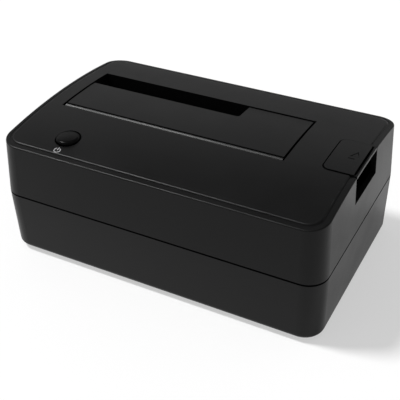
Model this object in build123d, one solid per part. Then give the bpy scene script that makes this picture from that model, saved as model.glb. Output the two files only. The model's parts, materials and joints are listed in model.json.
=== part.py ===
from build123d import *
import math
import os

# Desktop docking station for one bare 3.5 inch or 2.5 inch drive, standing on its connector end.
# Millimetres. X runs along the long front, Y to the back, Z up.
# The origin is on the table, under the middle of the housing.

# Drives that the dock takes
wide_drive_width = 101.6
wide_drive_thickness = 26.1
small_drive_width = 69.85
small_drive_thickness = 9.5

# Housing, in two moulded shells that meet at a waist seam and taper away from it.
# The margins are measured at the seam, from the bay opening to the outside.
left_margin = 10.4
right_margin = 30.2
front_margin = 34.4
back_margin = 22.7
base_taper_x = 0.2
base_taper_y = 1.0
top_taper_x = 1.3
top_taper_y = 1.35
corner_radius = 8.5
housing_height = 55.8
seam_rise = 27.9
crown_rise = 3.75
wall = 2.2
base_edge_radius = 2.2
seam_gap = 0.8
lap_thickness = 0.9
lap_height = 2.2
lap_step = 0.2
fit_clearance = 0.15
overrun = 3.0

# Rim and groove round the crowned top panel
rim_width = 2.35
rim_drop = 0.35
rim_edge_radius = 0.5
groove_width = 0.9
groove_depth = 0.5
panel_edge_radius = 0.8

# Drive bay opening, its collar and the lead-in along its front edge
bay_side_clearance = 1.2
open_flap_room = 9.6
collar_wall = 1.8
collar_drop = 7.3
lead_in_radius = 0.3
lead_in_margin = 1.2

# Moulded well below the bay opening
well_wall = 1.6
well_gap = 0.1
guide_rib_height = 3.5
guide_rib_width = 1.2
guide_rib_shares = (0.2, 0.4, 0.6, 0.8)
drive_play = 0.6
lug_thickness = 3.0
lug_width = 8.0
lug_reach = 4.0
lug_drop = 4.0
front_lug_shares = (0.38, 0.86)
back_lug_shares = (0.24, 0.62)

# Dust flap
flap_gap = 0.6
flap_right_gap = 1.2
flap_drop = 0.4
flap_thickness = 2.0
flap_edge_radius = 0.3
flap_rib_width = 1.2
flap_rib_depth = 1.9
hinge_groove_width = 0.9
hinge_groove_depth = 0.5
hinge_groove_ahead = 0.3
slot_width_play = 1.75
slot_depth_play = 0.85
slot_corner_radius = 1.5
barrel_radius = 2.4
pin_radius = 0.8
running_clearance = 0.05
stop_tab_width = 6.0
stop_tab_reach = 1.2
stop_tab_thickness = 1.6
stop_gap = 0.15
stop_tab_shares = (0.3, 0.76)
stop_slot_play = 0.6
stop_slot_depth = 5.5

# Torsion spring of the flap
flap_spring_wire = 0.4
flap_spring_turns = 4
flap_spring_share = 0.8
flap_spring_gap = 0.4
flap_spring_leg = 6.0
flap_spring_lean = 17
spring_bore_play = 0.1
spring_pocket_play = 0.15
spring_pocket_end_play = 0.5

# Power button and its switch
button_from_left = 27.8
button_from_front = 13.9
button_radius = 5.0
button_gap = 0.5
button_proud = 0.45
button_edge_radius = 1.0
button_travel = 2.0
button_flange = 1.3
button_flange_thickness = 1.3
button_cap_thickness = 1.8
button_skirt_wall = 1.2
button_fin_height = 2.5
sleeve_wall = 1.5
sleeve_drop = 3.5
stem_radius = 2.6
switch_size = 8.5
switch_height = 8.0
switch_floor = 2.0
switch_edge_radius = 0.3
plunger_radius = 1.5
plunger_rise = 5.5
plunger_grip = 3.2

# Eject button, its return spring and the window below it
tab_length = 14.0
tab_width = 24.1
tab_from_bay_front = 13.8
tab_gap = 0.6
tab_proud = 0.3
tab_thickness = 1.6
tab_corner_radius = 2.6
window_drop = 12.7
eject_travel = 6.0
web_thickness = 2.2
web_inset = 0.6
shelf_thickness = 2.0
shelf_drop = 5.0
shelf_end_play = 1.5
post_from_wall = 5.1
post_radius = 2.5
post_clearance = 0.15
post_nose_chamfer = 1.0
seat_over_lever = 4.4
seat_thickness = 2.0
seat_width = 11.0
seat_reach = 10.0
gusset_thickness = 1.2
gusset_drop = 7.0
eject_spring_wire = 0.6
eject_spring_turns = 5
eject_spring_play = 0.6

# Springs are wound from wire drawn with flats
wire_sides = 6

# Eject lever, which turns on a pin beside the well
lever_pivot_from_bay = 5.4
lever_pivot_over_board = 4.4
lever_hub_radius = 2.8
lever_pin_radius = 1.2
lever_thickness = 3.0
outer_arm_width = 7.0
inner_arm_width = 7.0
inner_arm_from_back = 8.2
inner_arm_reach = 40.0
lever_pad_radius = 1.6
lever_contact_gap = 0.2
lever_slot_play = 0.7
lever_slot_rise = 2.5
ear_thickness = 2.0
ear_gap = 0.3
ear_radius = 3.0
pin_overhang = 0.5

# Main circuit board
board_left_margin = 14.3
board_front_margin = 7.4
board_back_margin = 3.9
board_lever_gap = 0.5
board_thickness = 1.6
board_rise = 7.0
board_corner_radius = 2.0
board_hole_inset = 5.0
standoff_radius = 3.0
pilot_play = 0.05
board_screw_radius = 1.1
board_screw_length = 5.0
board_screw_head_radius = 2.2
board_screw_head_height = 1.5

# Drive connector
connector_from_left = 23.0
connector_from_back = 4.3
connector_length = 42.0
connector_depth = 6.6
connector_base_height = 6.9
connector_base_play = 0.4
nose_length = 34.6
nose_depth = 4.6
nose_rise = 5.4
nose_edge_chamfer = 0.5
key_slot_depth = 4.6
key_slot_width = 1.3
key_slot_end_wall = 0.9
key_leg = 2.2
key_rib = 2.4
contact_pitch = 1.27
contact_width = 0.7
contact_thickness = 0.25
contact_height = 4.2
signal_contacts = 7
power_contacts = 15

# Upstream data socket
socket_spacing = 22.0
data_socket_width = 12.2
data_socket_height = 12.9
data_socket_length = 16.4
socket_shell_wall = 0.4
data_mouth_width = 8.9
data_mouth_height = 7.8
data_upper_mouth_width = 6.2
data_upper_mouth_height = 3.0
data_mouth_chamfer = 1.4
data_mouth_depth = 9.5
data_tongue_width = 5.4
data_tongue_height = 3.2
data_upper_tongue_width = 5.0
data_upper_tongue_height = 1.1
data_tongue_recess = 1.5
socket_recess = 0.5
socket_opening_play = 0.4

# Power inlet
inlet_from_right = 46.3
inlet_width = 9.0
inlet_height = 11.0
inlet_length = 14.2
inlet_bore_radius = 3.15
inlet_bore_depth = 9.5
inlet_axis_rise = 6.4
inlet_pin_radius = 1.0
inlet_pin_recess = 0.8
inlet_edge_chamfer = 0.8

# Other parts on the board: places are shares of the board from its left and front edges
bridge_chip_size = 10.0
bridge_chip_height = 1.2
bridge_chip_shares = (0.46, 0.36)
chip_edge_chamfer = 0.3
regulator_length = 6.5
regulator_width = 6.0
regulator_height = 2.3
regulator_shares = ((0.62, 0.3), (0.74, 0.3))
capacitor_radius = 4.0
capacitor_height = 11.5
capacitor_edge_chamfer = 0.3
capacitor_vent_depth = 0.3
capacitor_vent_width = 0.4
crimp_rise = 1.5
crimp_height = 1.2
crimp_depth = 0.35
capacitor_shares = ((0.44, 0.14), (0.56, 0.14), (0.93, 0.86))
inductor_size = 10.0
inductor_height = 5.0
inductor_core_radius = 4.1
inductor_flange = 0.9
inductor_shares = (0.72, 0.14)
crystal_length = 11.0
crystal_width = 4.6
crystal_height = 3.5
crystal_edge_chamfer = 0.4
crystal_shares = (0.3, 0.2)

# Feet and case screws
foot_proud = 1.5
foot_radius = 5.5
foot_recess = 0.8
foot_edge_chamfer = 0.5
foot_from_side = 24.3
foot_from_front = 15.4
case_screw_inset = 8.9
case_boss_radius = 4.1
upper_boss_radius = 3.2
counterbore_radius = 2.9
case_boss_web = 8.9
case_screw_head_radius = 2.6
case_screw_head_height = 2.0
case_screw_radius = 1.4
case_screw_length = 14.0
screw_hole_play = 0.3
well_screw_radius = 1.1
well_screw_length = 8.0
well_screw_head_radius = 2.2
well_screw_head_height = 1.6
well_boss_radius = 2.8
screw_edge_share = 0.25
cross_width = 0.6
cross_length_share = 0.6
cross_depth_share = 0.5

# Bay and housing, worked out from the drives and the margins
bay_length = wide_drive_width + 2 * bay_side_clearance
bay_depth = wide_drive_thickness + open_flap_room
seam_length = left_margin + bay_length + right_margin
seam_depth = front_margin + bay_depth + back_margin
base_length = seam_length - 2 * base_taper_x
base_depth = seam_depth - 2 * base_taper_y
top_length = seam_length - 2 * top_taper_x
top_depth = seam_depth - 2 * top_taper_y
bay_left = left_margin - seam_length / 2
bay_right = bay_left + bay_length
bay_front = front_margin - seam_depth / 2
bay_back = bay_front + bay_depth
slot_right = bay_left + small_drive_width + 2 * slot_width_play
slot_front = bay_back - small_drive_thickness - 2 * slot_depth_play

# Places of the other parts, from the housing and the bay
button_x = button_from_left - seam_length / 2
button_y = button_from_front - seam_depth / 2
tab_centre_y = bay_front + tab_from_bay_front
post_x = seam_length / 2 - wall - post_from_wall
lever_pivot_x = bay_right + lever_pivot_from_bay
inner_arm_y = bay_back - inner_arm_from_back
board_left = board_left_margin - seam_length / 2
board_right = lever_pivot_x - board_lever_gap
board_front = board_front_margin - seam_depth / 2
board_back = seam_depth / 2 - board_back_margin
inlet_x = seam_length / 2 - inlet_from_right
data_socket_x = inlet_x - socket_spacing
foot_x = seam_length / 2 - foot_from_side
foot_y = seam_depth / 2 - foot_from_front
case_screw_x = seam_length / 2 - case_screw_inset
case_screw_y = seam_depth / 2 - case_screw_inset

# Heights above the table
base_z = foot_proud
seam_z = base_z + seam_rise
top_z = base_z + housing_height
floor_z = base_z + wall
board_z = base_z + board_rise
board_top_z = board_z + board_thickness
well_floor_z = board_top_z + connector_base_height
sill_z = top_z - window_drop
shelf_z = sill_z - shelf_drop
collar_z = top_z - collar_drop
lug_z = collar_z - lug_drop - lug_thickness
well_top_z = collar_z - well_gap
pivot_z = board_top_z + lever_pivot_over_board
lever_pad_z = pivot_z + eject_travel / 2
lever_pad_top_z = lever_pad_z + lever_pad_radius
seat_z = lever_pad_top_z + seat_over_lever + seat_thickness
case_screw_seat_z = seam_z - case_boss_web

# The crown is an arc across the depth of the housing
crown_radius = ((top_depth / 2) ** 2 + crown_rise ** 2) / (2 * crown_rise)
crown_centre_z = top_z - crown_radius


def block(x_span, y_span, z_span):
    """A square-edged solid between three pairs of limits."""
    size = [high - low for low, high in (x_span, y_span, z_span)]
    middle = [(low + high) / 2 for low, high in (x_span, y_span, z_span)]
    return Pos(*middle) * Box(*size)


def around(middle, width):
    """The two limits of a width set about a middle."""
    return (middle - width / 2, middle + width / 2)


def upright(x, y, z_span, radius):
    """A round solid standing between two heights."""
    low, high = z_span
    return Pos(x, y, (low + high) / 2) * Cylinder(radius, high - low)


def lying_x(x_span, y, z, radius):
    """A round solid lying along X."""
    low, high = x_span
    return Pos((low + high) / 2, y, z) * Rot(0, 90, 0) * Cylinder(radius, high - low)


def lying_y(x, y_span, z, radius):
    """A round solid lying along Y."""
    low, high = y_span
    return Pos(x, (low + high) / 2, z) * Rot(90, 0, 0) * Cylinder(radius, high - low)


def crown(drop):
    """Everything below the crowned surface, lowered by a drop."""
    return lying_x(around(0, seam_length + 2 * overrun), 0, crown_centre_z, crown_radius - drop)


def crown_z(y, drop=0):
    """Height of the crowned surface at a depth."""
    return crown_centre_z + math.sqrt((crown_radius - drop) ** 2 - y ** 2)


def plan(length, depth, radius, z):
    """Rounded outline of the housing at a height."""
    return Pos(0, 0, z) * RectangleRounded(length, depth, radius)


def lower_blank(inset):
    """Tapered solid of the lower shell, drawn in by an inset."""
    low = inset_plan(base_length, base_depth, inset, base_z)
    high = inset_plan(seam_length, seam_depth, inset, seam_z)
    return loft([low, high], ruled=True)


def upper_blank(inset):
    """Tapered solid of the upper shell, drawn in by an inset."""
    low = inset_plan(seam_length, seam_depth, inset, seam_z)
    high = inset_plan(top_length, top_depth, inset, top_z)
    return loft([low, high], ruled=True)


def slab(z_span):
    """A full-size slice across the housing, for trimming at a height."""
    return block(around(0, seam_length + 2 * overrun), around(0, seam_depth + 2 * overrun), z_span)


def inset_plan(length, depth, inset, z):
    """Rounded outline drawn in by an inset, at a height."""
    return plan(length - 2 * inset, depth - 2 * inset, corner_radius - inset, z)


def ring_at_seam(outer_inset, inner_inset, z_span):
    """Upright band round the seam, between two insets."""
    low, high = z_span
    outer = inset_plan(seam_length, seam_depth, outer_inset, low)
    inner = inset_plan(seam_length, seam_depth, inner_inset, low)
    return extrude(outer - inner, high - low)


def crowned_top():
    """The outside of the upper shell: crowned panel, groove and rounded rim."""
    rim = upper_blank(0) & crown(rim_drop)
    top_face = rim.faces().sort_by(Axis.Z)[-1]
    rim = fillet(top_face.edges(), rim_edge_radius)
    panel_low = top_z - crown_rise - groove_depth - wall
    panel_plan = inset_plan(top_length, top_depth, rim_width, panel_low)
    recess_plan = inset_plan(top_length, top_depth, rim_width - groove_width, panel_low)
    panel = extrude(panel_plan, top_z - panel_low) & crown(0)
    panel = fillet(panel.faces().sort_by(Axis.Z)[-1].edges(), panel_edge_radius)
    recess = extrude(recess_plan, top_z - panel_low) - crown(groove_depth)
    return rim - recess + panel


def case_screw_places():
    """The four corners that the case screws pass through."""
    return [(x, y) for x in (-case_screw_x, case_screw_x) for y in (-case_screw_y, case_screw_y)]


def well_screw_places():
    """The screws that hang the well from the upper shell."""
    front_y = bay_front - well_wall - lug_reach
    back_y = bay_back + well_wall + lug_reach
    fronts = [(bay_left + share * bay_length, front_y) for share in front_lug_shares]
    backs = [(bay_left + share * bay_length, back_y) for share in back_lug_shares]
    return fronts + backs


def stop_tab_middles():
    """The middles of the flap's two stop tabs, along X."""
    flap_right = bay_right - flap_right_gap
    return [slot_right + share * (flap_right - slot_right) for share in stop_tab_shares]


def flap_axis():
    """The depth and height of the flap's hinge axis."""
    y = bay_front + flap_gap + barrel_radius
    return y, crown_z(y) - flap_drop - barrel_radius


def tab_plan(gap, z_span):
    """Upright solid over the eject button's outline, open to the right, grown by a gap."""
    low, high = z_span
    left = top_length / 2 - tab_length - gap
    right = seam_length / 2 + overrun + tab_corner_radius
    outline = RectangleRounded(right - left, tab_width + 2 * gap, tab_corner_radius + gap)
    return extrude(Pos((left + right) / 2, tab_centre_y, low) * outline, high - low)


def upper_housing():
    """Upper shell with its crowned top, bay opening, collar, button sleeve and bosses."""
    shell = crowned_top() - (upper_blank(wall) & crown(wall))
    shell -= slab((seam_z - overrun, seam_z + seam_gap / 2))
    rebate_inset = wall - lap_step - lap_thickness - fit_clearance
    shell -= ring_at_seam(rebate_inset, wall + overrun, (seam_z, seam_z + lap_height))
    under_skin = crown(wall / 2)
    grown = block(
        (bay_left - collar_wall, bay_right + collar_wall),
        (bay_front - collar_wall, bay_back + collar_wall),
        (collar_z, top_z),
    )
    shell += grown & under_skin
    sleeve_radius = button_radius + button_gap + sleeve_wall
    sleeve_z = crown_z(button_y, wall) - sleeve_drop
    shell += upright(button_x, button_y, (sleeve_z, top_z), sleeve_radius) & under_skin
    for x, y in well_screw_places():
        boss = upright(x, y, (lug_z + lug_thickness, top_z), well_boss_radius)
        shell += boss & under_skin
    for x, y in case_screw_places():
        boss = upright(x, y, (seam_z, top_z), upper_boss_radius)
        shell += boss & under_skin
    shell -= block((bay_left, bay_right), (bay_front, bay_back), (collar_z - overrun, top_z + overrun))
    shell -= upright(button_x, button_y, (sleeve_z - overrun, top_z + overrun), button_radius + button_gap)
    shell -= tab_plan(tab_gap, (sill_z, top_z + overrun))
    shell -= lead_in()
    axis_y, axis_z = flap_axis()
    pin_hole = (bay_left - collar_wall - overrun, bay_right + collar_wall + overrun)
    shell -= lying_x(pin_hole, axis_y, axis_z, pin_radius + running_clearance)
    for middle in stop_tab_middles():
        pocket = block(
            around(middle, stop_tab_width + 2 * stop_slot_play),
            (bay_back - flap_gap, bay_back + collar_wall + overrun),
            (collar_z - overrun, top_z),
        )
        shell -= pocket & crown(wall)
    for x, y in well_screw_places():
        depth = well_screw_length - lug_thickness + pilot_play
        low = lug_z + lug_thickness
        shell -= upright(x, y, (low - overrun, low + depth), well_screw_radius + pilot_play)
    for x, y in case_screw_places():
        tip = case_screw_seat_z + case_screw_length + pilot_play
        shell -= upright(x, y, (seam_z - overrun, tip), case_screw_radius + pilot_play)
    return shell


def lead_in():
    """Waste of the rounded lead-in along the front edge of the bay opening."""
    edge_z = crown_z(bay_front)
    x_span = (bay_left + lead_in_margin, bay_right - lead_in_margin)
    corner = block(
        x_span,
        (bay_front - lead_in_radius, bay_front + overrun),
        (edge_z - lead_in_radius, edge_z + overrun),
    )
    return corner - lying_x(x_span, bay_front - lead_in_radius, edge_z - lead_in_radius, lead_in_radius)


def socket_y():
    """The depth at which both rear sockets end, just inside the rear wall."""
    share = (board_top_z - base_z) / seam_rise
    return (base_depth + share * (seam_depth - base_depth)) / 2 - socket_recess


def lower_housing():
    """Lower shell with standoffs, screw bosses, socket openings and the spring seat."""
    outside = lower_blank(0)
    outside = fillet(outside.faces().sort_by(Axis.Z)[0].edges(), base_edge_radius)
    shell = outside - slab((seam_z - seam_gap / 2, seam_z + overrun))
    shell -= lower_blank(wall) - slab((base_z - overrun, floor_z))
    shell += ring_at_seam(
        wall - lap_step - lap_thickness,
        wall - lap_step,
        (seam_z - seam_gap - wall, seam_z + lap_height - fit_clearance),
    )
    for x, y in board_hole_places():
        shell += upright(x, y, (floor_z - wall / 2, board_z), standoff_radius)
    for x, y in case_screw_places():
        shell += upright(x, y, (floor_z - wall / 2, seam_z), case_boss_radius)
    shell += spring_seat()
    for x, y in board_hole_places():
        depth = board_screw_length - board_thickness + pilot_play
        shell -= upright(x, y, (board_z - depth, board_z + overrun), board_screw_radius + pilot_play)
    for x, y in case_screw_places():
        shell -= upright(x, y, (base_z - overrun, case_screw_seat_z), counterbore_radius)
        hole = case_screw_radius + screw_hole_play
        shell -= upright(x, y, (base_z, seam_z + overrun), hole)
    for x, y in foot_places():
        shell -= upright(x, y, (base_z - overrun, base_z + foot_recess), foot_radius)
    play = socket_opening_play
    rear = (seam_depth / 2 - 2 * wall, seam_depth / 2 + overrun)
    data_width = data_socket_width + 2 * play
    shell -= block(
        around(data_socket_x, data_width), rear, (board_top_z - play, board_top_z + data_socket_height + play)
    )
    shell -= block(
        around(inlet_x, inlet_width + 2 * play), rear, (board_top_z - play, board_top_z + inlet_height + play)
    )
    return shell


def spring_seat():
    """Shelf on the right wall that carries the eject spring, with two gussets and a hole for the post."""
    inner_x = seam_length / 2 - wall
    left = inner_x - seat_reach
    right = inner_x + wall / 2
    y_span = around(tab_centre_y, seat_width)
    seat = block((left, right), y_span, (seat_z - seat_thickness, seat_z))
    for edge in (y_span[0] + gusset_thickness / 2, y_span[1] - gusset_thickness / 2):
        profile = Polyline(
            (left, seat_z - seat_thickness),
            (right, seat_z - seat_thickness),
            (right, seat_z - seat_thickness - gusset_drop),
            close=True,
        )
        face = Pos(0, edge, 0) * (Plane.XZ * make_face(profile))
        seat += extrude(face, gusset_thickness / 2, both=True)
    hole = (seat_z - seat_thickness - overrun, seat_z + overrun)
    return seat - upright(post_x, tab_centre_y, hole, post_radius + post_clearance)


def drive_well():
    """Deep well that guides the drive down onto the connector."""
    well = block(
        (bay_left - well_wall, bay_right + well_wall),
        (bay_front - well_wall, bay_back + well_wall),
        (well_floor_z - well_wall, well_top_z),
    )
    for x, y in well_screw_places():
        side = 1 if y > bay_back else -1
        root = y - side * lug_reach
        arm = block(around(x, lug_width), sorted((root, y)), (lug_z, lug_z + lug_thickness))
        well += arm + upright(x, y, (lug_z, lug_z + lug_thickness), lug_width / 2)
    ear_y = ear_spans()
    for y_span in ear_y:
        arm = block((bay_right, lever_pivot_x), y_span, (pivot_z - ear_radius, pivot_z + 2 * ear_radius))
        well += arm + lying_y(lever_pivot_x, y_span, pivot_z, ear_radius)
    well -= block((bay_left, bay_right), (bay_front, bay_back), (well_floor_z, well_top_z + overrun))
    rib_reach = bay_depth - wide_drive_thickness - 2 * drive_play
    for share in guide_rib_shares:
        x = bay_left + share * bay_length
        well += block(
            around(x, guide_rib_width),
            (bay_front - well_wall / 2, bay_front + rib_reach),
            (well_floor_z - well_wall / 2, well_floor_z + guide_rib_height),
        )
    play = connector_base_play
    x, y = connector_place()
    well -= block(
        around(x, connector_length + 2 * play),
        around(y, connector_depth + 2 * play),
        (well_floor_z - well_wall - overrun, well_floor_z + overrun),
    )
    slot_left = lever_pivot_x - inner_arm_reach - lever_pad_radius - lever_slot_play
    well -= block(
        (slot_left, bay_right + well_wall + overrun),
        around(inner_arm_y, inner_arm_width + 2 * lever_slot_play),
        (well_floor_z - well_wall - overrun, well_floor_z + lever_slot_rise),
    )
    for middle in stop_tab_middles():
        well -= block(
            around(middle, stop_tab_width + 2 * stop_slot_play),
            (bay_back - flap_gap, bay_back + well_wall + overrun),
            (well_top_z - stop_slot_depth, well_top_z + overrun),
        )
    for x, y in well_screw_places():
        hole = well_screw_radius + screw_hole_play
        well -= upright(x, y, (lug_z - overrun, lug_z + lug_thickness + overrun), hole)
    pin_span = (ear_y[0][0] - overrun, ear_y[1][1] + overrun)
    well -= lying_y(lever_pivot_x, pin_span, pivot_z, lever_pin_radius + running_clearance)
    return well


def flap_outline(inset):
    """L-shaped outline of the flap behind its barrel, drawn in by an inset."""
    left = bay_left + flap_gap + inset
    right = bay_right - flap_right_gap - inset
    front = flap_axis()[0] + inset
    notch_front = slot_front - inset
    notch_right = slot_right + inset
    back = bay_back - flap_gap - inset
    points = [
        (left, front),
        (right, front),
        (right, back),
        (notch_right, back),
        (notch_right, notch_front),
        (left, notch_front),
    ]
    face = make_face(Polyline(*points, close=True))
    inner = face.vertices().sort_by_distance((notch_right, notch_front, 0))[0]
    return fillet(inner, slot_corner_radius)


def dust_flap():
    """L-shaped spring-loaded flap: hinge barrel parted off by a groove, rim ribs and two stop tabs."""
    axis_y, axis_z = flap_axis()
    low = crown_z(bay_back) - flap_drop - flap_thickness - flap_rib_depth - overrun
    solid = extrude(Pos(0, 0, low) * flap_outline(0), top_z - low)
    plate = solid & crown(flap_drop)
    hidden = flap_drop + flap_thickness
    plate -= crown(hidden)
    rim = extrude(Pos(0, 0, low) * (flap_outline(0) - flap_outline(flap_rib_width)), top_z - low)
    rim = (rim & crown(hidden - flap_edge_radius)) - crown(hidden + flap_rib_depth)
    x_span = (bay_left + flap_gap, bay_right - flap_right_gap)
    barrel = lying_x(x_span, axis_y, axis_z, barrel_radius)
    clear_of_barrel = block(x_span, (axis_y - overrun, axis_y + barrel_radius), (low, axis_z))
    flap = plate + (rim - clear_of_barrel) + (barrel & crown(flap_drop))
    barrel_top = axis_z + barrel_radius
    groove_y = around(axis_y - hinge_groove_ahead, hinge_groove_width)
    flap -= block(x_span, groove_y, (barrel_top - hinge_groove_depth, barrel_top + overrun))
    for middle in stop_tab_middles():
        y_span = (bay_back - flap_gap - flap_rib_width, bay_back - flap_gap + stop_tab_reach)
        tab = block(around(middle, stop_tab_width), y_span, (low, top_z)) & crown(wall + stop_gap)
        flap += tab - crown(wall + stop_gap + stop_tab_thickness)
    flap -= lying_x((bay_left, bay_right), axis_y, axis_z, pin_radius + running_clearance)
    pocket_x = around(flap_spring_x(), flap_spring_length() + 2 * spring_pocket_end_play)
    pocket_radius = flap_spring_radius() + flap_spring_wire / 2 + spring_pocket_play
    flap -= lying_x(pocket_x, axis_y, axis_z, pocket_radius)
    flap -= block(pocket_x, (axis_y - barrel_radius, axis_y + barrel_radius), (low, axis_z))
    return flap


def flap_hinge_pin():
    """Steel rod that the flap's barrel turns on, held in the collar at both ends."""
    axis_y, axis_z = flap_axis()
    return lying_x((bay_left - collar_wall, bay_right + collar_wall), axis_y, axis_z, pin_radius)


def flap_spring_x():
    """The middle of the flap's spring, along X."""
    return bay_left + flap_spring_share * bay_length


def flap_spring_radius():
    """Mean radius of the flap's spring."""
    return pin_radius + spring_bore_play + flap_spring_wire / 2


def flap_spring_pitch():
    """Advance of the flap's spring in one turn."""
    return flap_spring_wire + flap_spring_gap


def flap_spring_length():
    """Length of the flap's spring over its wire."""
    return flap_spring_turns * flap_spring_pitch() + flap_spring_wire


def wound_wire(path, wire):
    """One unbroken wire along a path."""
    section = Plane(origin=path @ 0, z_dir=path % 0) * RegularPolygon(wire / 2, wire_sides)
    return sweep(section, path=path, is_frenet=True)


def flap_spring():
    """Torsion spring wound on the hinge pin inside the barrel, with its leg against the collar."""
    axis_y, axis_z = flap_axis()
    turns = Helix(
        pitch=flap_spring_pitch(), height=flap_spring_turns * flap_spring_pitch(), radius=flap_spring_radius()
    )
    leg = Line(turns @ 1, turns @ 1 + (turns % 1) * flap_spring_leg)
    wound = wound_wire(Wire([turns.edge(), leg.edge()]), flap_spring_wire)
    start = flap_spring_x() - flap_spring_turns * flap_spring_pitch() / 2
    return Pos(start, axis_y, axis_z) * Rot(0, 90, 0) * Rot(0, 0, -90 - flap_spring_lean) * wound


def power_button():
    """Round cap with a skirt, a retaining flange and a hollow stem that grips the switch."""
    flange_top = crown_z(button_y, wall) - sleeve_drop - stop_gap
    flange_low = flange_top - button_flange_thickness
    cap_top = crown_z(button_y) + button_proud
    cap = upright(button_x, button_y, (flange_low, cap_top), button_radius)
    cap = fillet(cap.edges().sort_by(Axis.Z)[-1], button_edge_radius)
    cap += upright(button_x, button_y, (flange_low, flange_top), button_radius + button_flange)
    ceiling = cap_top - button_cap_thickness
    cap -= upright(button_x, button_y, (flange_low, ceiling), button_radius - button_skirt_wall)
    plunger_top = board_top_z + switch_height + plunger_rise
    stem_low = plunger_top - plunger_grip
    cap += upright(button_x, button_y, (stem_low, ceiling + button_cap_thickness / 2), stem_radius)
    for turn in (0, 90):
        fin = Box(2 * button_radius - button_skirt_wall, button_skirt_wall, button_fin_height)
        cap += Pos(button_x, button_y, flange_low + button_fin_height / 2) * Rot(0, 0, turn) * fin
    return cap - upright(button_x, button_y, (stem_low, plunger_top), plunger_radius + running_clearance)


def power_switch():
    """Body of the push switch on the board."""
    span_x = around(button_x, switch_size)
    span_y = around(button_y, switch_size)
    body = block(span_x, span_y, (board_top_z, board_top_z + switch_height))
    body = fillet(body.edges().filter_by(Axis.Z), switch_edge_radius)
    bore = (board_top_z + switch_floor, board_top_z + switch_height + overrun)
    return body - upright(button_x, button_y, bore, plunger_radius + fit_clearance)


def switch_plunger():
    """Plunger of the push switch, which moves with the button."""
    low = board_top_z + switch_floor + button_travel + fit_clearance
    return upright(button_x, button_y, (low, board_top_z + switch_height + plunger_rise), plunger_radius)


def eject_button():
    """Push tab level with the top, with a web, a shelf and a post that pushes the lever."""
    low = shelf_z
    tab = crowned_top() & tab_plan(0, (low, top_z))
    tab -= crown(tab_thickness)
    tab = Pos(0, 0, tab_proud) * tab
    web_left = top_length / 2 - tab_length + web_inset
    web_width = tab_width - 2 * tab_corner_radius
    web_top = crown_z(tab_centre_y + web_width / 2, tab_thickness - web_inset)
    web = block((web_left, web_left + web_thickness), around(tab_centre_y, web_width), (low, web_top))
    shelf_right = seam_length / 2 - wall - shelf_end_play
    shelf = block((web_left, shelf_right), around(tab_centre_y, seat_width), (low, low + shelf_thickness))
    post_low = lever_pad_top_z + lever_contact_gap
    post = upright(post_x, tab_centre_y, (post_low, low + shelf_thickness), post_radius)
    post = chamfer(post.edges().group_by(Axis.Z)[0], post_nose_chamfer)
    return tab + web + shelf + post


def eject_spring():
    """Return spring between the seat and the shelf of the eject button."""
    radius = post_radius + eject_spring_play + eject_spring_wire / 2
    low = seat_z + eject_spring_wire / 2 + running_clearance
    high = shelf_z - eject_spring_wire / 2 - running_clearance
    turns = Helix(pitch=(high - low) / eject_spring_turns, height=high - low, radius=radius)
    return Pos(post_x, tab_centre_y, low) * wound_wire(turns, eject_spring_wire)


def lever_hub_span():
    """Limits of the lever's hub along Y."""
    return (tab_centre_y - outer_arm_width / 2, inner_arm_y + inner_arm_width / 2)


def ear_spans():
    """Limits along Y of the two ears that hold the lever's pin."""
    front, back = lever_hub_span()
    reach = ear_gap + ear_thickness
    return [(front - reach, front - ear_gap), (back + ear_gap, back + reach)]


def lever_arm(tip, y_span, thickness):
    """Arm of one thickness between the pivot and a rounded pad, across a width."""
    root = (lever_pivot_x, pivot_z)
    length = math.hypot(tip[0] - root[0], tip[1] - root[1])
    angle = math.degrees(math.atan2(tip[1] - root[1], tip[0] - root[0]))
    middle = ((root[0] + tip[0]) / 2, (y_span[0] + y_span[1]) / 2, (root[1] + tip[1]) / 2)
    bar = Pos(*middle) * Rot(0, -angle, 0) * Box(length, y_span[1] - y_span[0], thickness)
    return bar + lying_y(tip[0], y_span, tip[1], lever_pad_radius)


def eject_lever():
    """Bell-crank lever: the post pushes its outer arm down, and its inner arm lifts the drive."""
    hub = lying_y(lever_pivot_x, lever_hub_span(), pivot_z, lever_hub_radius)
    outer = lever_arm((post_x, lever_pad_z), around(tab_centre_y, outer_arm_width), lever_thickness)
    tip_z = well_floor_z - lever_pad_radius - lever_contact_gap
    inner = lever_arm(
        (lever_pivot_x - inner_arm_reach, tip_z),
        around(inner_arm_y, inner_arm_width),
        lever_thickness,
    )
    bore = (lever_hub_span()[0] - overrun, lever_hub_span()[1] + overrun)
    return hub + outer + inner - lying_y(lever_pivot_x, bore, pivot_z, lever_pin_radius + running_clearance)


def eject_lever_pin():
    """Steel pin of the eject lever."""
    front, back = ear_spans()
    span = (front[0] - pin_overhang, back[1] + pin_overhang)
    return lying_y(lever_pivot_x, span, pivot_z, lever_pin_radius)


def on_board(shares):
    """A place on the board from its shares along the length and the depth."""
    x = board_left + shares[0] * (board_right - board_left)
    y = board_front + shares[1] * (board_back - board_front)
    return x, y


def board_hole_places():
    """Mounting holes near the corners of the board."""
    columns = (board_left + board_hole_inset, board_right - board_hole_inset)
    rows = (board_front + board_hole_inset, board_back - board_hole_inset)
    return [(x, y) for x in columns for y in rows]


def main_circuit_board():
    """Glass-fibre board that carries the connector, the sockets and the converter."""
    outline = RectangleRounded(board_right - board_left, board_back - board_front, board_corner_radius)
    middle = ((board_left + board_right) / 2, (board_front + board_back) / 2, board_z)
    board = extrude(Pos(*middle) * outline, board_thickness)
    for x, y in board_hole_places():
        hole = board_screw_radius + screw_hole_play
        board -= upright(x, y, (board_z - overrun, board_top_z + overrun), hole)
    return board


def connector_place():
    """The middle of the drive connector."""
    return bay_left + connector_from_left, bay_back - connector_from_back


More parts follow.
